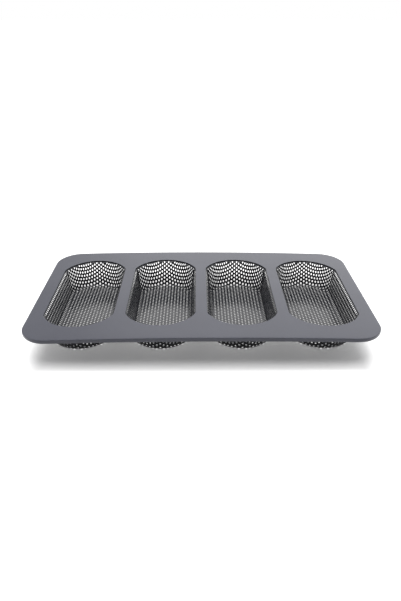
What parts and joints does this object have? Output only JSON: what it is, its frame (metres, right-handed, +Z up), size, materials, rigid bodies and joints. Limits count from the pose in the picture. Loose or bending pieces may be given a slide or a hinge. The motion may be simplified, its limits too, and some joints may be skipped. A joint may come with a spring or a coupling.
{
  "type": "hot dog bun pan",
  "caption": "Flat coated-steel baking pan with a wire-stiffened rolled rim and a row of long, round-ended perforated moulds that bake hot dog buns.",
  "frame": {"origin": "on the surface the pan stands on, under the middle of the plate", "axes": "+X along the row of moulds, +Y along each mould, +Z up out of the moulds"},
  "size_m": [0.38, 0.222, 0.034],
  "materials": {
    "plate_coating": "satin grey non-stick coating",
    "mould_coating": "satin dark grey non-stick coating on perforated sheet",
    "rim_wire_steel": "drawn wire"
  },
  "bodies": {
    "root": {"frame_plate": "plate_coating", "rim_wire": "rim_wire_steel", "bun_mould_1": "mould_coating", "bun_mould_2": "mould_coating", "bun_mould_3": "mould_coating", "bun_mould_4": "mould_coating"}
  },
  "joints": []
}
